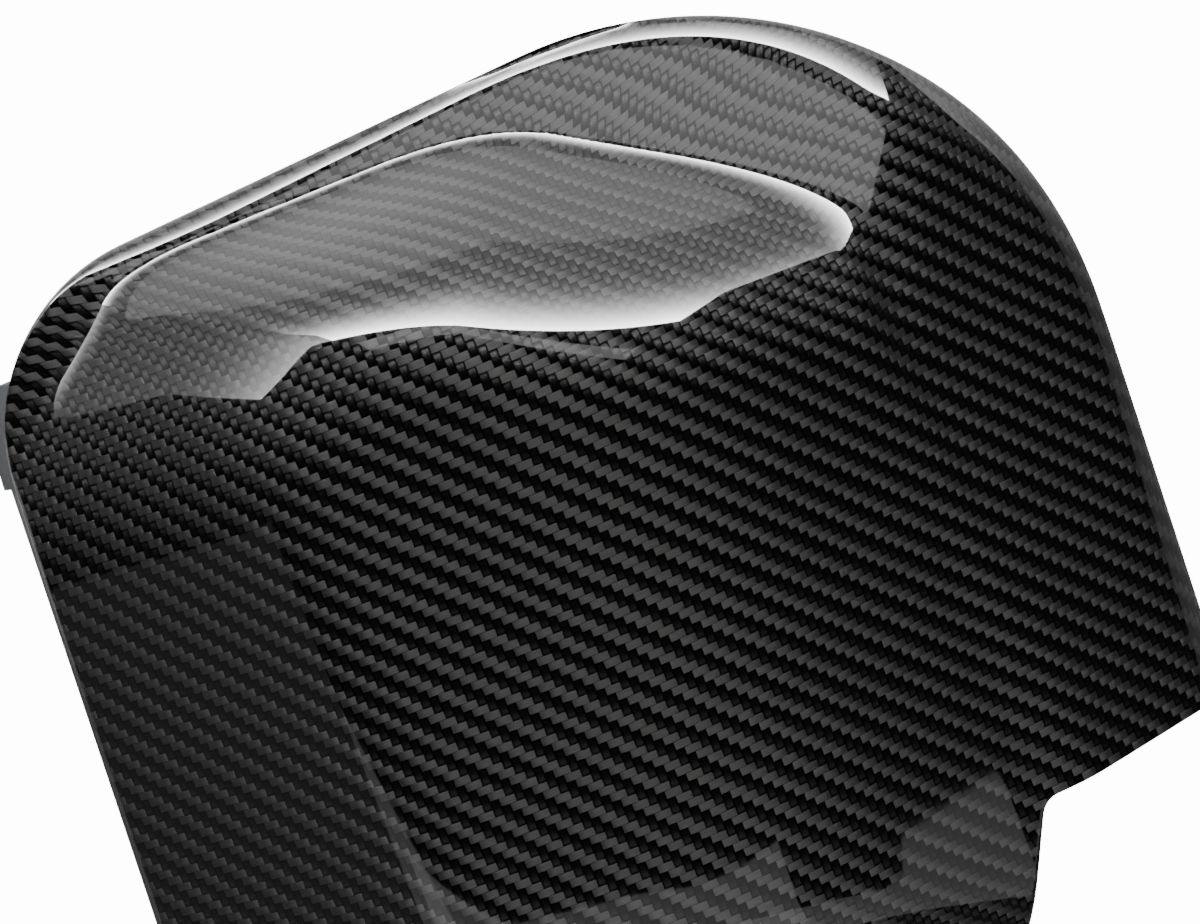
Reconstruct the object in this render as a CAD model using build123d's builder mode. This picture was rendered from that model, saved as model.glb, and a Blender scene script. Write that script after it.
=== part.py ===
"""Wing mirror cover: a carbon-fibre outer skin bonded over a moulded black carrier.

The cover lies on its rim with the open side down. X runs inboard towards the mirror arm, Y runs up
the car and Z points out of the front of the cover. All sizes are in millimetres.
"""
import os
from math import sqrt
from typing import NamedTuple

from build123d import *

# Skin, bond line and carrier, from the outside in
skin_thickness = 1.2
bond_gap = 0.3
carrier_wall = 2.2

# Rim of the skin in plan: its four sides meet in these corners, before the arm cut-out is taken away
skirt_height = 5.0
rim_top_left = (-105.8, 108.2)
rim_top_right = (124.4, 121.2)
rim_bottom_right = (114.9, -125.8)
rim_bottom_left = (-121.3, -91.8)
outer_top_radius = 42.0
inboard_top_radius = 92.0
outer_bottom_radius = 30.0
rim_lift = 3.0

# Arm cut-out at the lower inboard corner
cutout_top = -70.2
cutout_side = 67.7
cutout_slope = 0.50
cutout_radius = 5.0
cutout_setback = 1.0

# Front shield: the height of each facet where it is measured, and its rise along X and along Y
flank_height = 29.4
flank_rise = (0.66, 0.005)
crown_outer_height = 49.7
crown_outer_rise = (0.167, 0.018)
crown_inboard_height = 45.6
crown_inboard_rise = (-0.389, 0.049)
corner_height = 51.8
corner_rise = (0.665, -1.075)
brow_height = 52.5
brow_rise = (0.0, -2.459)
brow_inboard_height = 60.7
brow_inboard_rise = (-0.602, -1.393)
step_height = 36.3
step_rise = (-1.598, -0.084)
chin_rise = 1.5

# Base behind the shield: the inboard panel, the hood over the brow and the rolled edge of both
panel_height = 35.2
panel_rise = (-0.483, -0.019)
hood_height = 31.5
hood_rise = (0.0, -0.37)
root_height = 32.2
root_rise = (0.157, 0.006)
roll_rise = 1.85

# How softly neighbouring facets run into each other: the height that the fold between them takes up
flank_fold = 6.7
crown_fold = 15.3
corner_fold = 12.0
brow_fold = 33.0
step_fold = 5.5
panel_fold = 6.3
roll_fold = 7.0
shoulder_fold = 210.0
chin_fold = 26.0
valley_fold = 3.5

# Lip of the carrier below the skin: it flares along the outer side, more so at the tongue near the top
lip_inset = 0.4
lip_overlap = 0.01
side_lip_taper = 18.0
side_lip_bottom = -68.0
side_lip_reach = -85.0
tongue_taper = 31.0
tongue_bottom = 70.8
tongue_top = 92.0

# Ribs under the front of the carrier
rib_width = 1.8
rib_depth = 5.0
rib_spacing = 44.0
rib_count = 4
rib_middle = (-14.0, 6.0)

# Snap hooks round the rim: each place, and the way its nose points
hook_places = {
    "outer_upper": (-92.0, 62.0, 180.0),
    "outer_lower": (-98.0, -30.0, 180.0),
    "top_outer": (-43.0, 97.0, 90.0),
    "top_inboard": (37.0, 98.0, 90.0),
    "inboard": (103.0, 0.0, 0.0),
    "bottom": (-38.0, -90.0, 270.0),
}
hook_width = 12.0
hook_thickness = 2.0
hook_nose = 2.0
hook_nose_height = 4.5
hook_end = 1.5

# Locating pegs, each on a boss with a flat seat
peg_places = ((-70.0, 17.0), (80.0, -32.0))
peg_diameter = 6.0
peg_end = 2.0
peg_lead_in = 1.0
peg_length = 12.0
boss_diameter = 10.0

# Fitted surface of the front
station_spacing = 5.0
fit_tolerance = 0.05
surface_margin = 8.0
blank_height = 100.0


class Facet(NamedTuple):
    """A flat field of the form, given by one point on it and its rise along X and Y."""

    x: float
    y: float
    z: float
    rise: tuple

    def height(self, x, y, inset):
        """Height of the facet at a plan point, set in along its normal."""
        rise_x, rise_y = self.rise
        slant = sqrt(1 + rise_x**2 + rise_y**2)
        return self.z + rise_x * (x - self.x) + rise_y * (y - self.y) - inset * slant


def rim_side(start, end, rise):
    """Steep facet that rises from just above one side of the rim, with the cover on its right."""
    along = (Vector(*end) - Vector(*start)).normalized()
    return Facet(*start, skirt_height + rim_lift, (rise * along.Y, -rise * along.X))


flank = Facet(-83.3, 19.8, flank_height, flank_rise)
crown_outer = Facet(-33.3, 19.8, crown_outer_height, crown_outer_rise)
crown_inboard = Facet(41.7, 19.8, crown_inboard_height, crown_inboard_rise)
corner = Facet(-58.3, 71.8, corner_height, corner_rise)
brow = Facet(1.7, 86.8, brow_height, brow_rise)
brow_inboard = Facet(26.7, 59.8, brow_inboard_height, brow_inboard_rise)
step = Facet(72.5, -0.2, step_height, step_rise)
panel = Facet(67.7, -0.2, panel_height, panel_rise)
hood = Facet(81.7, 44.8, hood_height, hood_rise)
root = Facet(67.7, -0.2, root_height, root_rise)
top_roll = rim_side(rim_top_left, rim_top_right, roll_rise)
side_roll = rim_side(rim_top_right, rim_bottom_right, roll_rise)
chin = rim_side(rim_bottom_right, rim_bottom_left, chin_rise)


def fold(a, b, depth):
    """Lower of two heights, rounded where they differ by less than the depth."""
    share = max(depth - abs(a - b), 0) / depth
    return min(a, b) - share**2 * depth / 4


def valley(a, b, depth):
    """Upper of two heights, rounded where they differ by less than the depth."""
    return -fold(-a, -b, depth)


def crown_height(x, y, inset):
    """Height of the cover at a plan point, for a surface set in from the outside."""

    def at(facet):
        return facet.height(x, y, inset)

    front = fold(fold(at(flank), at(crown_outer), flank_fold), at(crown_inboard), crown_fold)
    top = fold(fold(at(corner), at(brow), corner_fold), at(brow_inboard), crown_fold)
    shield = fold(fold(front, top, brow_fold), at(step), step_fold)
    base = fold(fold(at(panel), at(root), step_fold), at(hood), panel_fold)
    base = fold(base, fold(at(top_roll), at(side_roll), shoulder_fold), roll_fold)
    return fold(valley(shield, base, valley_fold), at(chin), chin_fold)


def stations(low, high):
    """Evenly spaced places from low to high, both ends included."""
    count = round((high - low) / station_spacing)
    return [low + (high - low) * k / count for k in range(count + 1)]


def rim_outline(inset):
    """Plan of the rim, set in evenly, with its corners rounded."""
    with BuildSketch(Plane.XY.offset(skirt_height)) as plan:
        with BuildLine():
            Polyline(rim_top_left, rim_top_right, rim_bottom_right, rim_bottom_left, close=True)
        make_face()
        fillet(plan.vertices().sort_by_distance(rim_top_right)[0], inboard_top_radius)
        fillet(plan.vertices().sort_by_distance(rim_top_left)[0], outer_top_radius)
        fillet(plan.vertices().sort_by_distance(rim_bottom_left)[0], outer_bottom_radius)
        if inset:
            offset(amount=-inset)
    return plan.sketch


def form(inset):
    """Solid of the cover, set in evenly from the outside, from its crown down past the floor."""
    left = min(rim_bottom_left[0], rim_top_left[0]) - surface_margin
    right = max(rim_top_right[0], rim_bottom_right[0]) + surface_margin
    bottom = min(rim_bottom_left[1], rim_bottom_right[1]) - surface_margin
    top = max(rim_top_left[1], rim_top_right[1]) + surface_margin
    rows = []
    for x in stations(left, right):
        rows.append([Vector(x, y, crown_height(x, y, inset)) for y in stations(bottom, top)])
    crown = Face.make_surface_from_array_of_points(rows, tol=fit_tolerance, min_deg=3, max_deg=3)
    with BuildPart() as solid:
        extrude(crown, amount=blank_height, dir=(0, 0, -1))
        extrude(rim_outline(inset), amount=blank_height, both=True, mode=Mode.INTERSECT)
        split(bisect_by=Plane.XY, keep=Keep.TOP)
    return solid.part


def arm_cutout(setback):
    """Prism of the arm's way through the lower inboard corner, set back all round."""
    reach = rim_top_right[0] + surface_margin
    foot = rim_bottom_right[1] - surface_margin
    foot_side = cutout_side - cutout_slope * (cutout_top - foot)
    with BuildPart() as prism:
        with BuildSketch() as plan:
            with BuildLine():
                Polyline(
                    (cutout_side, cutout_top),
                    (reach, cutout_top),
                    (reach, foot),
                    (foot_side, foot),
                    close=True,
                )
            make_face()
            fillet(plan.vertices().sort_by_distance((cutout_side, cutout_top))[0], cutout_radius)
            if setback:
                offset(amount=setback)
        extrude(amount=blank_height)
    return prism.part


def lip_blank(taper):
    """Solid below the skin, from the rim down to the floor, flared by the taper."""
    with BuildPart() as blank:
        add(rim_outline(lip_inset))
        extrude(amount=-skirt_height, taper=-taper)
    return blank.part


def lip_stretch(taper, bottom, top):
    """Flared stretch of the lip on the outer side, between two heights on the car."""
    with BuildPart() as stretch:
        add(lip_blank(taper))
        split(bisect_by=Plane.YZ.offset(side_lip_reach), keep=Keep.BOTTOM)
        split(bisect_by=Plane.ZX.offset(bottom), keep=Keep.TOP)
        split(bisect_by=Plane.ZX.offset(top), keep=Keep.BOTTOM)
    return stretch.part


def snap_hook():
    """Blank of one hook, with its nose towards +X and its stem long enough for any place on the rim."""
    with BuildPart() as hook:
        with BuildSketch(Plane.XZ) as side:
            with BuildLine():
                Polyline(
                    (0, hook_end),
                    (hook_thickness, hook_end),
                    (hook_thickness + hook_nose, hook_end + hook_nose_height - hook_nose / 2),
                    (hook_thickness + hook_nose, hook_end + hook_nose_height),
                    (hook_thickness, hook_end + hook_nose_height),
                    (hook_thickness, blank_height),
                    (0, blank_height),
                    close=True,
                )
            make_face()
        extrude(amount=hook_width / 2, both=True)
    return hook.part


carrier_inset = skin_thickness + bond_gap
hollow_inset = carrier_inset + carrier_wall
carrier_form = form(carrier_inset)
hollow_form = form(hollow_inset)

# Outer skin: the laminate, trimmed at the top of the carrier's lip
with BuildPart() as outer_skin:
    add(form(0))
    add(form(skin_thickness), mode=Mode.SUBTRACT)
    add(arm_cutout(0), mode=Mode.SUBTRACT)
    split(bisect_by=Plane.XY.offset(skirt_height), keep=Keep.TOP)
outer_skin.part.label = "outer_skin"

# Ribs, hook stems and pegs, all cut to the inside of the carrier
with BuildPart() as inner_features:
    rib_length = 2 * blank_height
    with Locations((*rib_middle, blank_height)):
        with GridLocations(rib_spacing, 1, rib_count, 1):
            Box(rib_width, rib_length, rib_length)
        with GridLocations(1, rib_spacing, 1, rib_count):
            Box(rib_length, rib_width, rib_length)
    add(form(hollow_inset + rib_depth), mode=Mode.SUBTRACT)
    for x, y, turn in hook_places.values():
        with Locations(Location((x, y, 0), (0, 0, turn))):
            add(snap_hook())
    for x, y in peg_places:
        with Locations((x, y, peg_end)):
            Cone(
                peg_diameter / 2 - peg_lead_in,
                peg_diameter / 2,
                peg_lead_in,
                align=(Align.CENTER, Align.CENTER, Align.MIN),
            )
        with Locations((x, y, peg_end + peg_lead_in)):
            Cylinder(peg_diameter / 2, peg_length, align=(Align.CENTER, Align.CENTER, Align.MIN))
        with Locations((x, y, peg_end + peg_lead_in + peg_length)):
            Cylinder(boss_diameter / 2, blank_height, align=(Align.CENTER, Align.CENTER, Align.MIN))
    add(carrier_form, mode=Mode.INTERSECT)

# Inner carrier: the moulded shell that backs the skin, its lip, tongue and fixings
with BuildPart() as inner_carrier:
    add(carrier_form)
    split(bisect_by=Plane.XY.offset(skirt_height - lip_overlap), keep=Keep.TOP)
    add(lip_blank(0))
    add(lip_stretch(side_lip_taper, side_lip_bottom, tongue_bottom))
    add(lip_stretch(tongue_taper, tongue_bottom, tongue_top))
    add(hollow_form, mode=Mode.SUBTRACT)
    add(inner_features.part)
    add(arm_cutout(cutout_setback), mode=Mode.SUBTRACT)
inner_carrier.part.label = "inner_carrier"

os.makedirs("parts", exist_ok=True)
export_step(outer_skin.part, "parts/outer_skin.step")
export_step(inner_carrier.part, "parts/inner_carrier.step")
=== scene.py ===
"""Looks of the wing mirror cover: clear-coated twill carbon over a moulded black carrier."""

import logging
import math
from dataclasses import dataclass, field
from enum import Enum
from typing import Optional

import bpy
import numpy as np
from mathutils import Matrix, Vector

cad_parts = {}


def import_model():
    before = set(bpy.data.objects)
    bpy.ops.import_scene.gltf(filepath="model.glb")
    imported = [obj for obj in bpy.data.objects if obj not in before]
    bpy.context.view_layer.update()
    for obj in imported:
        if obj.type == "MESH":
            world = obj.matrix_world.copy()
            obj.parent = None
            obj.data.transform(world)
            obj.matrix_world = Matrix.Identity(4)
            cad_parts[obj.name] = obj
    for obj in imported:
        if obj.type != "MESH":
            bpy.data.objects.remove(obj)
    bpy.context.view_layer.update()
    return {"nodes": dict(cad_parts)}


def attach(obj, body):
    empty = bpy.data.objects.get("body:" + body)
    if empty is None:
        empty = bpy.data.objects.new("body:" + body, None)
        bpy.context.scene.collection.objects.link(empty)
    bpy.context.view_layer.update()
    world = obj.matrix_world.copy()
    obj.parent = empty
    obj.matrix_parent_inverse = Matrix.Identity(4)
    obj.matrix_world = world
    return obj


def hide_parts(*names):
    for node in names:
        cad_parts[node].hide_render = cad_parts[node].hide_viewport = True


log = logging.getLogger("cover")

MM = 0.001
WELD = 2e-6


class Node(str, Enum):
    """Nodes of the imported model."""

    SKIN = "outer_skin"
    CARRIER = "inner_carrier"


class Slot(str, Enum):
    """Material slots of the record."""

    SKIN = "carbon_skin"
    CARRIER = "black_carrier"


@dataclass(frozen=True)
class Facet:
    """A flat field of the form: one point on it, in millimetres, and its rise along X and Y."""

    point: tuple[float, float, float]
    rise: tuple[float, float]


FACETS: dict[str, Facet] = {
    "flank": Facet((-83.3, 19.8, 29.4), (0.66, 0.005)),
    "crown_outer": Facet((-33.3, 19.8, 49.7), (0.167, 0.018)),
    "crown_inboard": Facet((41.7, 19.8, 45.6), (-0.389, 0.049)),
    "corner": Facet((-58.3, 71.8, 51.8), (0.665, -1.075)),
    "brow": Facet((1.7, 86.8, 52.5), (0.0, -2.459)),
    "brow_inboard": Facet((26.7, 59.8, 60.7), (-0.602, -1.393)),
    "step": Facet((72.5, -0.2, 36.3), (-1.598, -0.084)),
    "panel": Facet((67.7, -0.2, 35.2), (-0.483, -0.019)),
    "hood": Facet((81.7, 44.8, 31.5), (0.0, -0.37)),
    "root": Facet((67.7, -0.2, 32.2), (0.157, 0.006)),
}

FOLDS: dict[str, float] = {
    "flank_fold": 6.7,
    "crown_fold": 15.3,
    "corner_fold": 12.0,
    "brow_fold": 33.0,
    "step_fold": 5.5,
    "panel_fold": 6.3,
    "roll_fold": 7.0,
    "shoulder_fold": 210.0,
    "chin_fold": 26.0,
    "valley_fold": 3.5,
}


@dataclass(frozen=True)
class Rim:
    """Plan of the rim and of the arm cut-out, in millimetres."""

    top_left: tuple[float, float] = (-105.8, 108.2)
    top_right: tuple[float, float] = (124.4, 121.2)
    bottom_right: tuple[float, float] = (114.9, -125.8)
    bottom_left: tuple[float, float] = (-121.3, -91.8)
    outer_top_radius: float = 42.0
    inboard_top_radius: float = 92.0
    outer_bottom_radius: float = 30.0
    skirt: float = 5.0
    lift: float = 3.0
    roll_rise: float = 1.85
    chin_rise: float = 1.5
    cutout_top: float = -70.2
    cutout_side: float = 67.7
    cutout_slope: float = 0.50
    cutout_radius: float = 5.0
    thickness: float = 1.2
    corner_turn: float = 1.6

    def side(self, start: tuple[float, float], end: tuple[float, float], rise: float) -> Facet:
        """Steep facet that rises from just above one side of the rim.

        Args:
            start: First end of the side.
            end: Second end, with the cover on the right.
            rise: Steepness square to the side.

        Returns:
            The facet.
        """
        along = np.subtract(end, start) / np.linalg.norm(np.subtract(end, start))
        return Facet((*start, self.skirt + self.lift), (rise * along[1], -rise * along[0]))

    def rolls(self) -> dict[str, Facet]:
        """Facets of the rolled edges.

        Returns:
            Facets by name.
        """
        return {
            "top_roll": self.side(self.top_left, self.top_right, self.roll_rise),
            "side_roll": self.side(self.top_right, self.bottom_right, self.roll_rise),
            "chin": self.side(self.bottom_right, self.bottom_left, self.chin_rise),
        }

    def outline(self, inset: float, spacing: float) -> np.ndarray:
        """Points round the skin's edge, with the sides on the rim set in.

        Args:
            inset: How far the rim's sides are set in; the cut-out's sides stay.
            spacing: Distance between points on the edge that isn't set in.

        Returns:
            Plan points in order, the same number for any inset.
        """
        cut = np.array((self.cutout_side, self.cutout_top))
        slope = np.array((-self.cutout_slope, -1.0))
        turns = [
            (np.array(self.top_left), self.outer_top_radius, inset),
            (np.array(self.top_right), self.inboard_top_radius, inset),
            (None, 0.0, 0.0),
            (cut, -self.cutout_radius, 0.0),
            (None, 0.0, inset),
            (np.array(self.bottom_left), self.outer_bottom_radius, inset),
        ]
        lines = [
            (np.array(self.top_left), np.subtract(self.top_right, self.top_left)),
            (np.array(self.top_right), np.subtract(self.bottom_right, self.top_right)),
            (cut, np.array((-1.0, 0.0))),
            (cut, slope),
            (np.array(self.bottom_right), np.subtract(self.bottom_left, self.bottom_right)),
            (np.array(self.bottom_left), np.subtract(self.top_left, self.bottom_left)),
        ]
        insets = [turn[2] for turn in turns]
        whole = self._corners(lines, [0.0] * len(lines))
        moved = self._corners(lines, insets)
        points: list[np.ndarray] = []
        for k, (_, radius, _) in enumerate(turns):
            before, here, after = moved[k - 1], moved[k], moved[(k + 1) % len(turns)]
            reduced = radius - inset if radius > 0 else -radius
            steps = round(abs(radius) * self.corner_turn / spacing) + 1 if radius else 1
            arc = self._arc(before, here, after, reduced, steps)
            points.append(arc)
        out: list[np.ndarray] = []
        for k, arc in enumerate(points):
            out.extend(arc)
            nxt = points[(k + 1) % len(points)][0]
            count = max(int(np.linalg.norm(whole[(k + 1) % len(whole)] - whole[k]) / spacing), 2)
            for step in range(1, count):
                out.append(arc[-1] + (nxt - arc[-1]) * step / count)
        return np.array(out)

    @staticmethod
    def _corners(lines: list, insets: list[float]) -> list[np.ndarray]:
        """Corners where neighbouring lines meet, each line moved in to its right.

        Args:
            lines: A point and a direction for each side, in order.
            insets: How far each side moves in.

        Returns:
            The corner at the start of each line.
        """
        moved = []
        for (point, way), inset in zip(lines, insets):
            unit = way / np.linalg.norm(way)
            moved.append((point + inset * np.array((unit[1], -unit[0])), unit))
        corners = []
        for k in range(len(moved)):
            (p, u), (q, v) = moved[k - 1], moved[k]
            t = np.linalg.solve(np.array((u, -v)).T, q - p)[0]
            corners.append(p + t * u)
        return corners

    @staticmethod
    def _arc(before: np.ndarray, here: np.ndarray, after: np.ndarray, radius: float, count: int) -> list:
        """Rounded corner.

        Args:
            before: The corner before it.
            here: The corner.
            after: The corner after it.
            radius: Radius of the rounding, or 0.
            count: Number of steps in the arc.

        Returns:
            Points of the arc in order.
        """
        if radius <= 0:
            return [here]
        u = (before - here) / np.linalg.norm(before - here)
        v = (after - here) / np.linalg.norm(after - here)
        half = math.acos(float(np.clip(u @ v, -1, 1))) / 2
        middle = here + (u + v) / np.linalg.norm(u + v) * radius / math.sin(half)
        first = here + u * radius / math.tan(half) - middle
        last = here + v * radius / math.tan(half) - middle
        a0 = math.atan2(first[1], first[0])
        sweep = (math.atan2(last[1], last[0]) - a0 + math.pi) % (2 * math.pi) - math.pi
        angles = [a0 + sweep * k / count for k in range(count + 1)]
        return [middle + radius * np.array((math.cos(a), math.sin(a))) for a in angles]


class Tree:
    """Small helper that wires a node tree."""

    def __init__(self, tree: bpy.types.NodeTree) -> None:
        """Keeps the tree.

        Args:
            tree: The tree to add nodes to.
        """
        self.tree = tree

    def node(self, kind: str, *inputs: object, **settings: object) -> bpy.types.Node:
        """Adds a node, sets its properties and feeds its inputs in order.

        Args:
            kind: Type name of the node.
            inputs: Sockets or values for the first inputs; None skips one.
            settings: Properties of the node.

        Returns:
            The node.
        """
        made = self.tree.nodes.new(kind)
        for key, value in settings.items():
            setattr(made, key, value)
        for socket, value in zip(made.inputs, inputs):
            self.feed(socket, value)
        return made

    def feed(self, socket: bpy.types.NodeSocket, value: object) -> None:
        """Links or sets one input.

        Args:
            socket: The input.
            value: A socket, a plain value or None.
        """
        if isinstance(value, bpy.types.NodeSocket):
            self.tree.links.new(value, socket)
        elif value is not None:
            socket.default_value = value

    def math(self, operation: str, *inputs: object) -> bpy.types.NodeSocket:
        """Adds a math node.

        Args:
            operation: Name of the operation.
            inputs: Its inputs.

        Returns:
            Its output.
        """
        return self.node("ShaderNodeMath", *inputs, operation=operation).outputs[0]

    def vector(self, operation: str, *inputs: object) -> bpy.types.NodeSocket:
        """Adds a vector math node.

        Args:
            operation: Name of the operation.
            inputs: Its inputs.

        Returns:
            Its vector output, or its value output for a dot product or a length.
        """
        made = self.node("ShaderNodeVectorMath", *inputs, operation=operation)
        return made.outputs["Value" if operation in ("DOT_PRODUCT", "LENGTH") else "Vector"]

    def pick(self, factor: object, a: object, b: object) -> bpy.types.NodeSocket:
        """One of two values.

        Args:
            factor: 0 for the first value, 1 for the second.
            a: First value.
            b: Second value.

        Returns:
            The value picked.
        """
        mix = self.node("ShaderNodeMix", data_type="FLOAT")
        for name, value in (("Factor", factor), ("A", a), ("B", b)):
            self.feed(mix.inputs[name], value)
        return mix.outputs["Result"]

    def scaled(self, vector: object, factor: object) -> bpy.types.NodeSocket:
        """A vector made longer or shorter.

        Args:
            vector: The vector.
            factor: Its scale.

        Returns:
            The scaled vector.
        """
        made = self.node("ShaderNodeVectorMath", vector, operation="SCALE")
        self.feed(made.inputs["Scale"], factor)
        return made.outputs[0]


class CoverForm:
    """The rule of the cover's form: flat facets, folded softly into each other."""

    def __init__(self, rim: Rim) -> None:
        """Builds the node group with every facet and fold as a named input.

        Args:
            rim: The rim whose rolls close the form.
        """
        self.rim = rim
        self.facets = {**FACETS, **rim.rolls()}
        self.group = bpy.data.node_groups.new("cover_form", "GeometryNodeTree")
        self._build(self._blend_group("fold", 1.0), self._blend_group("valley", -1.0))

    @staticmethod
    def _blend_group(name: str, sign: float) -> bpy.types.NodeTree:
        """Group that takes the lower or the upper of two heights, rounded where they are close.

        Args:
            name: Name of the group.
            sign: 1 for the lower height, -1 for the upper one.

        Returns:
            The group.
        """
        group = bpy.data.node_groups.new(name, "GeometryNodeTree")
        for label in ("a", "b", "depth"):
            group.interface.new_socket(label, in_out="INPUT", socket_type="NodeSocketFloat")
        group.interface.new_socket("height", in_out="OUTPUT", socket_type="NodeSocketFloat")
        t = Tree(group)
        a, b, depth = t.node("NodeGroupInput").outputs[:3]
        apart = t.math("ABSOLUTE", t.math("SUBTRACT", a, b))
        share = t.math("DIVIDE", t.math("MAXIMUM", t.math("SUBTRACT", depth, apart), 0.0), depth)
        bite = t.math("MULTIPLY", t.math("MULTIPLY", share, share), t.math("MULTIPLY", depth, sign / 4))
        end = t.math("MINIMUM" if sign > 0 else "MAXIMUM", a, b)
        t.node("NodeGroupOutput", t.math("SUBTRACT", end, bite))
        return group

    def _build(self, fold_group: bpy.types.NodeTree, valley_group: bpy.types.NodeTree) -> None:
        """Wires the facets and folds.

        Args:
            fold_group: Group for outward folds.
            valley_group: Group for the inward fold.
        """
        face = self.group.interface
        face.new_socket("pattern", in_out="INPUT", socket_type="NodeSocketGeometry")
        for name, facet in self.facets.items():
            point = face.new_socket(f"{name}_point", in_out="INPUT", socket_type="NodeSocketVector")
            point.default_value = [c * MM for c in facet.point]
            slope = face.new_socket(f"{name}_slope", in_out="INPUT", socket_type="NodeSocketVector")
            slope.default_value = (*facet.rise, -1.0)
        for name, depth in FOLDS.items():
            face.new_socket(name, in_out="INPUT", socket_type="NodeSocketFloat").default_value = depth * MM
        skirt = face.new_socket("skirt_height", in_out="INPUT", socket_type="NodeSocketFloat")
        skirt.default_value = self.rim.skirt * MM
        face.new_socket("material", in_out="INPUT", socket_type="NodeSocketMaterial")
        face.new_socket("piece", in_out="OUTPUT", socket_type="NodeSocketGeometry")

        t = Tree(self.group)
        given = t.node("NodeGroupInput").outputs
        position = t.node("GeometryNodeInputPosition").outputs[0]
        inset = t.node("GeometryNodeInputNamedAttribute", "inset", data_type="FLOAT").outputs[0]
        drop = t.node("GeometryNodeInputNamedAttribute", "drop", data_type="FLOAT").outputs[0]

        def at(name: str) -> bpy.types.NodeSocket:
            """Height of one facet, set in along its normal."""
            slope = given[f"{name}_slope"]
            rise = t.vector("DOT_PRODUCT", slope, t.vector("SUBTRACT", position, given[f"{name}_point"]))
            return t.math("SUBTRACT", rise, t.math("MULTIPLY", inset, t.vector("LENGTH", slope)))

        def fold(
            a: bpy.types.NodeSocket, b: bpy.types.NodeSocket, name: str, up: bool = False
        ) -> bpy.types.NodeSocket:
            """Two heights folded into one."""
            return self._use(t, valley_group if up else fold_group, a, b, given[name])

        front = fold(fold(at("flank"), at("crown_outer"), "flank_fold"), at("crown_inboard"), "crown_fold")
        top = fold(fold(at("corner"), at("brow"), "corner_fold"), at("brow_inboard"), "crown_fold")
        shield = fold(fold(front, top, "brow_fold"), at("step"), "step_fold")
        base = fold(fold(at("panel"), at("root"), "step_fold"), at("hood"), "panel_fold")
        base = fold(base, fold(at("top_roll"), at("side_roll"), "shoulder_fold"), "roll_fold")
        whole = fold(fold(shield, base, "valley_fold", up=True), at("chin"), "chin_fold")
        raised = t.math("MAXIMUM", whole, given["skirt_height"])
        fall = t.math("MULTIPLY", t.math("SUBTRACT", given["skirt_height"], raised), drop)
        height = t.node("ShaderNodeCombineXYZ", 0.0, 0.0, t.math("ADD", raised, fall)).outputs[0]
        moved = t.node("GeometryNodeSetPosition", given["pattern"], None, None, height).outputs[0]
        welded = t.node("GeometryNodeMergeByDistance", moved)
        t.feed(welded.inputs["Distance"], WELD)
        smooth = t.node("GeometryNodeSetShadeSmooth", welded.outputs[0]).outputs[0]
        skinned = t.node("GeometryNodeSetMaterial", smooth)
        t.feed(skinned.inputs["Material"], given["material"])
        t.node("NodeGroupOutput", skinned.outputs[0])

    @staticmethod
    def _use(t: Tree, group: bpy.types.NodeTree, *inputs: object) -> bpy.types.NodeSocket:
        """Adds a group node.

        Args:
            t: The tree.
            group: The group to use.
            inputs: Its inputs.

        Returns:
            Its output.
        """
        made = t.node("GeometryNodeGroup", node_tree=group)
        for socket, value in zip(made.inputs, inputs):
            t.feed(socket, value)
        return made.outputs[0]

    def drape(self, pattern: bpy.types.Mesh, material: Optional[bpy.types.Material] = None) -> bpy.types.Mesh:
        """Lifts a flat pattern onto the form.

        Args:
            pattern: Flat mesh with the attributes inset and drop.
            material: Material of the result.

        Returns:
            The baked mesh.
        """
        carrier = bpy.data.objects.new("pattern", pattern)
        bpy.context.scene.collection.objects.link(carrier)
        modifier = carrier.modifiers.new("form", "NODES")
        modifier.node_group = self.group
        inputs = (item for item in self.group.interface.items_tree if item.in_out == "INPUT")
        sockets = {item.name: item.identifier for item in inputs}
        if material is not None:
            modifier[sockets["material"]] = material
        graph = bpy.context.evaluated_depsgraph_get()
        baked = bpy.data.meshes.new_from_object(carrier.evaluated_get(graph))
        carrier.modifiers.clear()
        bpy.data.objects.remove(carrier)
        return baked


def flat_pattern(
    name: str, points: np.ndarray, faces: np.ndarray, inset: np.ndarray, drop: np.ndarray
) -> bpy.types.Mesh:
    """Flat mesh with the attributes that the form reads.

    Args:
        name: Name of the mesh.
        points: Plan points in millimetres.
        faces: Corner indices of each face.
        inset: Depth below the outside at each point, in millimetres.
        drop: 1 where a point lies on the skirt's edge.

    Returns:
        The mesh.
    """
    mesh = bpy.data.meshes.new(name)
    flat = np.column_stack((points * MM, np.zeros(len(points))))
    mesh.from_pydata(flat.tolist(), [], faces.tolist())
    for label, values in (("inset", inset * MM), ("drop", drop)):
        layer = mesh.attributes.new(label, "FLOAT", "POINT")
        layer.data.foreach_set("value", np.asarray(values, dtype=np.float32))
    mesh.update()
    return mesh


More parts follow.
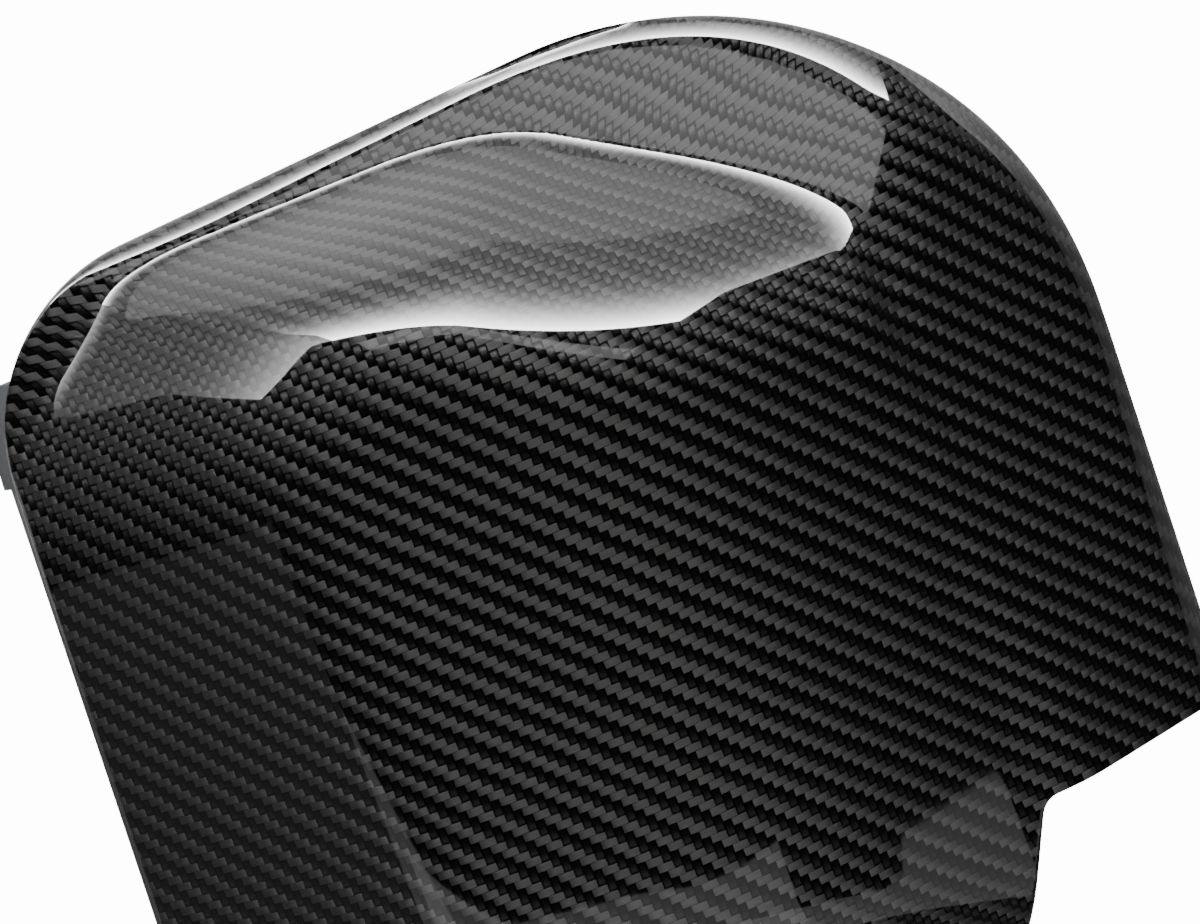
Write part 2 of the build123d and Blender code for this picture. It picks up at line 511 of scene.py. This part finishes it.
@dataclass
class WeaveChart:
    """Where each tow of the cloth lies, measured along the form."""

    form: CoverForm
    pitch: float = 1.8
    reach: float = 136.0
    spacing: float = 2.0
    start: tuple[float, float] = (-10.0, 20.0)
    u: np.ndarray = field(init=False)
    v: np.ndarray = field(init=False)

    def __post_init__(self) -> None:
        """Drapes a square grid and adds up its lengths along both ways of the cloth."""
        self.count = int(2 * self.reach / self.spacing) + 1
        axis = np.linspace(-self.reach, self.reach, self.count)
        x, y = np.meshgrid(axis, axis, indexing="ij")
        points = np.column_stack((x.ravel(), y.ravel()))
        index = np.arange(self.count**2).reshape(self.count, self.count)
        faces = np.stack((index[:-1, :-1], index[1:, :-1], index[1:, 1:], index[:-1, 1:]), -1).reshape(-1, 4)
        zeros = np.zeros(len(points))
        sheet = self.form.drape(flat_pattern("chart", points, faces, zeros, zeros))
        co = np.empty(len(sheet.vertices) * 3, dtype=np.float32)
        sheet.vertices.foreach_get("co", co)
        z = co.reshape(self.count, self.count, 3)[:, :, 2] / MM
        bpy.data.meshes.remove(sheet)
        step = axis[1] - axis[0]
        along_x = np.hypot(np.diff(z, axis=0), step) / self.pitch
        along_y = np.hypot(np.diff(z, axis=1), step) / self.pitch
        self.u = np.vstack((np.zeros((1, self.count)), np.cumsum(along_x, axis=0)))
        self.v = np.hstack((np.zeros((self.count, 1)), np.cumsum(along_y, axis=1)))
        self.axis = axis
        self.u -= self.u[np.searchsorted(axis, self.start[0])][None, :]
        self.v -= self.v[:, np.searchsorted(axis, self.start[1])][:, None]

    def at(self, x: np.ndarray, y: np.ndarray) -> np.ndarray:
        """Tow coordinates at plan points.

        Args:
            x: Places along X in millimetres.
            y: Places along Y in millimetres.

        Returns:
            One row of u and v, in tows, for each point.
        """
        fx = np.clip((x + self.reach) / self.spacing, 0, self.count - 1.001)
        fy = np.clip((y + self.reach) / self.spacing, 0, self.count - 1.001)
        i, j = fx.astype(int), fy.astype(int)
        a, b = fx - i, fy - j

        def mix(grid: np.ndarray) -> np.ndarray:
            """Bilinear value of one grid."""
            low = grid[i, j] * (1 - a) + grid[i + 1, j] * a
            high = grid[i, j + 1] * (1 - a) + grid[i + 1, j + 1] * a
            return low * (1 - b) + high * b

        return np.column_stack((mix(self.u), mix(self.v)))


@dataclass(frozen=True)
class CarbonFinish:
    """Clear-coated 2x2 twill carbon cloth; the weft's lighter colour is painted sheen."""

    # The weft's colour is the fibre's own near-black lifted to about twice the warp's by painted sheen: both
    # tows are the same fibre. The anisotropic shading adds real sheen on top.
    weft_color_painted_sheen: tuple[float, float, float] = (0.0235, 0.0230, 0.0226)
    warp_color: tuple[float, float, float] = (0.0125, 0.0125, 0.0125)
    weft_metal: float = 0.8
    warp_metal: float = 1.0
    weft_tilt: float = 0.40
    warp_tilt: float = 0.32
    side_tilt: float = 0.22
    roughness: float = 0.54
    anisotropy: float = 0.8
    gloss: float = 0.1
    waver: float = 0.16
    waver_scale: float = 0.35
    fibre_fine: float = 16.0
    fibre_long: float = 0.35
    fibre_light: float = 1.1
    fibre_dark: float = 0.45
    warp_ends: tuple[float, float] = (0.55, 0.97)
    warp_sides: tuple[float, float] = (0.55, 1.0)
    weft_ends: tuple[float, float] = (0.88, 1.0)
    weft_sides: tuple[float, float] = (0.90, 1.02)
    coat_roughness: float = 0.025
    coat_ior: float = 1.52

    def build(self) -> bpy.types.Material:
        """Makes the material.

        Returns:
            The material.
        """
        material = bpy.data.materials.new("carbon_twill")
        material.use_nodes = True
        tree = material.node_tree
        tree.nodes.clear()
        t = Tree(tree)
        uv = t.node("ShaderNodeUVMap", uv_map="tows").outputs[0]
        noise = t.node("ShaderNodeTexNoise", uv, noise_dimensions="2D")
        t.feed(noise.inputs["Scale"], self.waver_scale)
        t.feed(noise.inputs["Detail"], 2.0)
        waver = t.scaled(t.vector("SUBTRACT", noise.outputs["Color"], (0.5, 0.5, 0.5)), self.waver)
        tows = t.node("ShaderNodeSeparateXYZ", t.vector("ADD", uv, waver)).outputs
        u, v = tows[0], tows[1]
        i, j = t.math("FLOOR", u), t.math("FLOOR", v)
        fu, fv = t.math("FRACT", u), t.math("FRACT", v)
        phase = t.math("FLOORED_MODULO", t.math("ADD", i, j), 4.0)
        weft = t.math("LESS_THAN", phase, 1.5)
        weft_along = t.math("MULTIPLY", t.math("ADD", phase, fu), 0.5)
        warp_along = t.math("MULTIPLY", t.math("ADD", t.math("SUBTRACT", phase, 2.0), fv), 0.5)
        warp_inside = self._inside(t, warp_along, fu, self.warp_ends, self.warp_sides)
        weft_inside = self._inside(t, weft_along, fv, self.weft_ends, self.weft_sides)
        inside = t.pick(weft, warp_inside, weft_inside)
        fibre_weft = self._fibres(t, u, v, (self.fibre_long, self.fibre_fine))
        fibre_warp = self._fibres(t, u, v, (self.fibre_fine, self.fibre_long))
        fibres = t.pick(weft, fibre_warp, fibre_weft)
        # Warp and weft tones; the lighter weft tone is painted sheen.
        tone = t.node("ShaderNodeMix", data_type="RGBA")
        t.feed(tone.inputs["Factor"], weft)
        t.feed(tone.inputs["A"], (*self.warp_color, 1))
        t.feed(tone.inputs["B"], (*self.weft_color_painted_sheen, 1))
        lit = t.math("MULTIPLY_ADD", fibres, self.fibre_light, self.fibre_dark)
        colour = t.node("ShaderNodeMix", data_type="RGBA", blend_type="MULTIPLY")
        t.feed(colour.inputs["Factor"], 1.0)
        t.feed(colour.inputs["A"], tone.outputs["Result"])
        grey = t.node("ShaderNodeCombineColor", *(t.math("MULTIPLY", lit, inside),) * 3).outputs[0]
        t.feed(colour.inputs["B"], grey)
        tangent = t.node("ShaderNodeTangent", direction_type="UV_MAP", uv_map="tows").outputs[0]
        normal = t.node("ShaderNodeNewGeometry").outputs["Normal"]
        across = t.vector("CROSS_PRODUCT", normal, tangent)
        weft_u = self._lean(t, weft_along, self.weft_tilt, 1)
        weft_v = self._lean(t, fv, self.side_tilt, 3)
        warp_u = self._lean(t, fu, self.side_tilt, 3)
        warp_v = self._lean(t, warp_along, self.warp_tilt, 1)
        lean_u = t.scaled(tangent, t.pick(weft, warp_u, weft_u))
        lean_v = t.scaled(across, t.pick(weft, warp_v, weft_v))
        leaning = t.vector("ADD", t.vector("ADD", normal, lean_u), lean_v)
        turn = t.math("MULTIPLY", weft, 0.25)
        shader = t.node("ShaderNodeBsdfPrincipled")
        for name, value in {
            "Base Color": colour.outputs["Result"],
            "Metallic": t.pick(weft, self.warp_metal, self.weft_metal),
            "Roughness": self.roughness,
            "Specular IOR Level": self.gloss,
            "Normal": t.vector("NORMALIZE", leaning),
            "Tangent": tangent,
            "Anisotropic": self.anisotropy,
            "Anisotropic Rotation": turn,
            "Coat Weight": 1.0,
            "Coat Roughness": self.coat_roughness,
            "Coat IOR": self.coat_ior,
        }.items():
            t.feed(shader.inputs[name], value)
        t.node("ShaderNodeOutputMaterial", shader.outputs[0])
        return material

    @staticmethod
    def _lean(t: Tree, place: object, tilt: float, power: int) -> bpy.types.NodeSocket:
        """Lean of a bowed tow: none in its middle, outwards at both ends.

        Args:
            t: The tree.
            place: Place along or across the float from 0 to 1.
            tilt: Lean at the ends, as a slope.
            power: 1 for an even bow, 3 for a flat one with round sides.

        Returns:
            The slope.
        """
        centred = t.math("MULTIPLY_ADD", place, 2.0, -1.0)
        bowed = centred if power == 1 else t.math("MULTIPLY", centred, t.math("MULTIPLY", centred, centred))
        return t.math("MULTIPLY", bowed, tilt)

    @staticmethod
    def _inside(
        t: Tree, along: object, across: object, ends: tuple[float, float], sides: tuple[float, float]
    ) -> bpy.types.NodeSocket:
        """How much of a float shows: all of it inside, nothing where it dips under its neighbours.

        Args:
            t: The tree.
            along: Place along the float from 0 to 1.
            across: Place across the tow from 0 to 1.
            ends: Where it starts and stops to fade along the float, from 0 in its middle to 1 at its ends.
            sides: The same across the tow.

        Returns:
            Share from 0 to 1.
        """

        def fade(value: object, start: float, end: float) -> bpy.types.NodeSocket:
            """Falls from 1 to near 0 towards both ends."""
            centred = t.math("ABSOLUTE", t.math("MULTIPLY_ADD", value, 2.0, -1.0))
            soft = t.node("ShaderNodeMapRange", interpolation_type="SMOOTHSTEP")
            for socket, given in zip(soft.inputs, (centred, start, end, 1.0, 0.0)):
                t.feed(socket, given)
            return soft.outputs[0]

        return t.math("MULTIPLY", fade(along, *ends), fade(across, *sides))

    @staticmethod
    def _fibres(t: Tree, u: object, v: object, scale: tuple[float, float]) -> bpy.types.NodeSocket:
        """Fine streaks along one way of the cloth.

        Args:
            t: The tree.
            u: Tow coordinate across the warp.
            v: Tow coordinate across the weft.
            scale: Stretch of the streaks along u and v.

        Returns:
            Streak value from 0 to 1.
        """
        stretched = (t.math("MULTIPLY", u, scale[0]), t.math("MULTIPLY", v, scale[1]))
        place = t.node("ShaderNodeCombineXYZ", *stretched)
        noise = t.node("ShaderNodeTexNoise", place.outputs[0], noise_dimensions="2D")
        t.feed(noise.inputs["Scale"], 1.0)
        t.feed(noise.inputs["Detail"], 3.0)
        return noise.outputs["Fac"]


@dataclass(frozen=True)
class PlasticFinish:
    """Moulded black plastic with a fine grain."""

    name: str
    color: tuple[float, float, float] = (0.022, 0.023, 0.025)
    roughness: float = 0.48
    grain: float = 0.12
    grain_scale: float = 1400.0
    cloud_scale: float = 22.0
    cloud_range: tuple[float, float] = (0.75, 1.3)
    rough_range: tuple[float, float] = (-0.08, 0.1)
    sheen: float = 0.2

    def build(self) -> bpy.types.Material:
        """Makes the material.

        Returns:
            The material.
        """
        material = bpy.data.materials.new(self.name)
        material.use_nodes = True
        tree = material.node_tree
        tree.nodes.clear()
        t = Tree(tree)
        place = t.node("ShaderNodeTexCoord").outputs["Object"]
        fine = t.node("ShaderNodeTexNoise", place)
        t.feed(fine.inputs["Scale"], self.grain_scale)
        t.feed(fine.inputs["Detail"], 3.0)
        broad = t.node("ShaderNodeTexNoise", place)
        t.feed(broad.inputs["Scale"], self.cloud_scale)
        t.feed(broad.inputs["Detail"], 4.0)
        shade = t.node("ShaderNodeMix", data_type="RGBA")
        t.feed(shade.inputs["Factor"], broad.outputs["Fac"])
        for name, share in zip("AB", self.cloud_range):
            t.feed(shade.inputs[name], (*(c * share for c in self.color), 1))
        low, high = (self.roughness + change for change in self.rough_range)
        rough = t.node("ShaderNodeMapRange", fine.outputs["Fac"], 0.3, 0.7, low, high)
        bump = t.node("ShaderNodeBump")
        t.feed(bump.inputs["Strength"], self.grain)
        t.feed(bump.inputs["Distance"], 0.0001)
        t.feed(bump.inputs["Height"], fine.outputs["Fac"])
        shader = t.node("ShaderNodeBsdfPrincipled")
        t.feed(shader.inputs["Base Color"], shade.outputs["Result"])
        t.feed(shader.inputs["Roughness"], rough.outputs[0])
        t.feed(shader.inputs["Specular IOR Level"], self.sheen)
        t.feed(shader.inputs["Normal"], bump.outputs[0])
        t.node("ShaderNodeOutputMaterial", shader.outputs[0])
        return material


@dataclass
class CarbonSkin:
    """The laminate: one closed sheet draped over the form."""

    form: CoverForm
    chart: WeaveChart
    spacing: float = 1.9
    rings: int = 130
    inner_rings: int = 18
    bevel: float = 0.4
    bevel_depth: float = 0.32
    sharp_angle: float = 38.0
    middle: tuple[float, float] = (0.0, 5.0)

    def build(self) -> bpy.types.Object:
        """Makes the skin and puts it in the place of its node.

        Returns:
            The skin's object.
        """
        rim = self.form.rim
        outer = rim.outline(0.0, self.spacing)
        inner = rim.outline(rim.thickness, self.spacing)
        on_rim = np.linalg.norm(outer - inner, axis=1) > 0.5
        middle = np.array(self.middle)
        rows, insets, drops = [], [], []
        reach = np.linalg.norm(outer - middle, axis=1)[:, None]
        for k in range(self.rings + 1):
            rows.append(middle + (outer - middle) * (1 - self.bevel / reach) * k / self.rings)
            insets.append(np.zeros(len(outer)))
            drops.append(np.zeros(len(outer)))
        rows.append(outer)
        insets.append(np.full(len(outer), self.bevel_depth))
        drops.append(np.zeros(len(outer)))
        for plan in (outer, inner):
            rows.append(plan)
            insets.append(np.full(len(outer), rim.thickness))
            drops.append(on_rim.astype(float))
        for k in range(self.inner_rings, -1, -1):
            rows.append(middle + (inner - middle) * k / self.inner_rings)
            insets.append(np.full(len(outer), rim.thickness))
            drops.append(np.zeros(len(outer)))
        count, high = len(outer), len(rows)
        index = np.arange(count * high).reshape(high, count)
        across = np.roll(index, -1, axis=1)
        faces = np.stack((index[:-1], across[:-1], across[1:], index[1:]), -1).reshape(-1, 4)
        pattern = flat_pattern("skin", np.vstack(rows), faces, np.concatenate(insets), np.concatenate(drops))
        mesh = self.form.drape(pattern, CarbonFinish().build())
        self._map(mesh)
        mesh.set_sharp_from_angle(angle=math.radians(self.sharp_angle))
        mesh.name = "carbon_skin"
        skin = bpy.data.objects.new("carbon_skin", mesh)
        bpy.context.scene.collection.objects.link(skin)
        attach(skin, "root")
        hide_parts(Node.SKIN.value)
        return skin

    def _map(self, mesh: bpy.types.Mesh) -> None:
        """Gives the mesh its tow coordinates.

        Args:
            mesh: The skin's mesh.
        """
        co = np.empty(len(mesh.vertices) * 3, dtype=np.float32)
        mesh.vertices.foreach_get("co", co)
        co = co.reshape(-1, 3) / MM
        tows = self.chart.at(co[:, 0], co[:, 1])
        corner = np.empty(len(mesh.loops), dtype=np.int32)
        mesh.loops.foreach_get("vertex_index", corner)
        layer = mesh.uv_layers.new(name="tows")
        layer.data.foreach_set("uv", tows[corner].astype(np.float32).ravel())


@dataclass(frozen=True)
class Panel:
    """A glowing studio panel: its four corners in metres, its glow and how much brighter one edge is."""

    name: str
    corners: tuple[tuple[float, float, float], ...]
    glow: float
    edge_glow: float = 0.0
    edge_power: float = 2.5

    def build(self) -> None:
        """Makes the panel, which the camera doesn't see. Its last two corners are the bright edge."""
        mesh = bpy.data.meshes.new(self.name)
        mesh.from_pydata(self.corners, [], [(0, 1, 2, 3)])
        layer = mesh.uv_layers.new(name="face")
        for loop, uv in zip(layer.data, ((0, 0), (1, 0), (1, 1), (0, 1))):
            loop.uv = uv
        material = bpy.data.materials.new(self.name)
        material.use_nodes = True
        material.node_tree.nodes.clear()
        t = Tree(material.node_tree)
        up = t.node("ShaderNodeSeparateXYZ", t.node("ShaderNodeUVMap", uv_map="face").outputs[0]).outputs[1]
        glow = t.math("MULTIPLY_ADD", t.math("POWER", up, self.edge_power), self.edge_glow, self.glow)
        t.node("ShaderNodeOutputMaterial", t.node("ShaderNodeEmission", (1, 1, 1, 1), glow).outputs[0])
        mesh.materials.append(material)
        panel = bpy.data.objects.new(self.name, mesh)
        bpy.context.scene.collection.objects.link(panel)
        panel.visible_camera = False


PANELS: tuple[Panel, ...] = (
    Panel(
        "back_wall",
        ((-1.1, 1.5, 0.01), (1.9, 1.5, 0.01), (1.9, 1.5, 1.45), (-1.1, 1.5, 1.45)),
        glow=1.3,
        edge_glow=100.0,
        edge_power=4.5,
    ),
    Panel(
        "outer_wall",
        ((-2.1, 1.5, 0.01), (-1.1, 1.5, 0.01), (-1.1, 1.5, 1.45), (-2.1, 1.5, 1.45)),
        glow=0.7,
        edge_glow=12.0,
        edge_power=3.0,
    ),
    Panel("side_wall", ((-1.8, -0.15, 0.05), (-1.8, -1.6, 0.05), (-1.8, -1.6, 1.4), (-1.8, -0.15, 1.4)), 0.2),
    Panel("front_light", ((-1.1, -1.6, 0.75), (0.1, -1.6, 0.75), (0.1, -1.6, 1.5), (-1.1, -1.6, 1.5)), 12.0),
    Panel("ceiling", ((-2.2, -2.6, 1.6), (2.5, -2.6, 1.6), (2.5, -1.1, 1.6), (-2.2, -0.62, 1.6)), 0.8),
)


@dataclass(frozen=True)
class Card:
    """A small soft light that lies level over the cover: its place and size in metres and its glow."""

    name: str
    place: tuple[float, float, float]
    size: tuple[float, float]
    turn: float
    glow: float

    def build(self) -> None:
        """Makes the light."""
        data = bpy.data.lights.new(self.name, "AREA")
        data.shape = "RECTANGLE"
        data.size, data.size_y = self.size
        data.energy = self.glow * math.pi * self.size[0] * self.size[1]
        card = bpy.data.objects.new(self.name, data)
        card.location = self.place
        card.rotation_euler = (0.0, 0.0, math.radians(self.turn))
        bpy.context.scene.collection.objects.link(card)


CARDS: tuple[Card, ...] = (
    Card("over_hood", (0.106, 0.231, 0.264), (0.19, 0.046), -46.0, 2.5),
    Card("over_chin", (-0.09, -0.152, 0.2), (0.3, 0.1), -3.0, 0.8),
    Card("over_corner", (-0.045, 0.254, 0.264), (0.17, 0.05), 18.0, 2.8),
)


@dataclass
class Studio:
    """White floor, glowing panels and a dark room above."""

    floor_size: float = 12.0
    floor_seen: float = 14.0
    floor_glow: float = 1.95
    floor_dim: float = 0.1
    glow_start: float = 0.02
    glow_full: float = 0.13

    def build(self) -> None:
        """Makes the floor, the panels and the world."""
        half = self.floor_size / 2
        mesh = bpy.data.meshes.new("floor")
        corners = [(-half, -half, 0), (half, -half, 0), (half, half, 0), (-half, half, 0)]
        mesh.from_pydata(corners, [], [(0, 1, 2, 3)])
        floor = bpy.data.objects.new("floor", mesh)
        bpy.context.scene.collection.objects.link(floor)
        material = bpy.data.materials.new("pale_floor")
        material.use_nodes = True
        shader = material.node_tree.nodes["Principled BSDF"]
        shader.inputs["Base Color"].default_value = (0.04, 0.04, 0.04, 1)
        shader.inputs["Roughness"].default_value = 0.9
        shader.inputs["Emission Color"].default_value = (1, 1, 1, 1)
        t = Tree(material.node_tree)
        seen = t.node("ShaderNodeLightPath").outputs["Is Camera Ray"]
        back = t.node("ShaderNodeSeparateXYZ", t.node("ShaderNodeTexCoord").outputs["Object"]).outputs[1]
        reach = (self.glow_start, self.glow_full, self.floor_dim, self.floor_glow)
        ramp = t.node("ShaderNodeMapRange", back, *reach)
        t.feed(shader.inputs["Emission Strength"], t.pick(seen, ramp.outputs[0], self.floor_seen))
        mesh.materials.append(material)
        for light in (*PANELS, *CARDS):
            light.build()
        world = bpy.data.worlds.new("room")
        bpy.context.scene.world = world
        world.use_nodes = True
        world.node_tree.nodes["Background"].inputs["Color"].default_value = (0.012, 0.012, 0.013, 1)


@dataclass(frozen=True)
class PhotoCamera:
    """Camera at the photograph's place."""

    eye: tuple[float, float, float] = (-53.2, 222.9, 937.3)
    right: tuple[float, float, float] = (0.9230, -0.3604, 0.1353)
    up: tuple[float, float, float] = (0.3796, 0.9104, -0.1648)
    back: tuple[float, float, float] = (-0.0637, 0.2034, 0.9770)
    lens: float = 134.19

    def build(self) -> None:
        """Makes the camera the scene's camera."""
        data = bpy.data.cameras.new("photo")
        data.sensor_fit = "HORIZONTAL"
        data.sensor_width = 36.0
        data.lens = self.lens
        camera = bpy.data.objects.new("photo", data)
        bpy.context.scene.collection.objects.link(camera)
        turn = Matrix((self.right, self.up, self.back)).transposed().to_4x4()
        camera.matrix_world = Matrix.Translation(Vector(self.eye) * MM) @ turn
        bpy.context.scene.camera = camera


def main() -> None:
    """Builds the cover's looks piece by piece."""
    logging.basicConfig(level=logging.INFO, format="%(name)s: %(message)s")
    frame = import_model()
    form = CoverForm(Rim())
    log.info("form: %d facets", len(form.facets))
    skin = CarbonSkin(form, WeaveChart(form)).build()
    log.info("skin: %d faces", len(skin.data.polygons))
    carrier = frame["nodes"][Node.CARRIER.value]
    plastic = PlasticFinish("carrier_plastic").build()
    for slot in carrier.material_slots:
        slot.material = plastic
    log.info("carrier: %s", plastic.name)
    Studio().build()
    PhotoCamera().build()


if __name__ == "__main__":
    main()
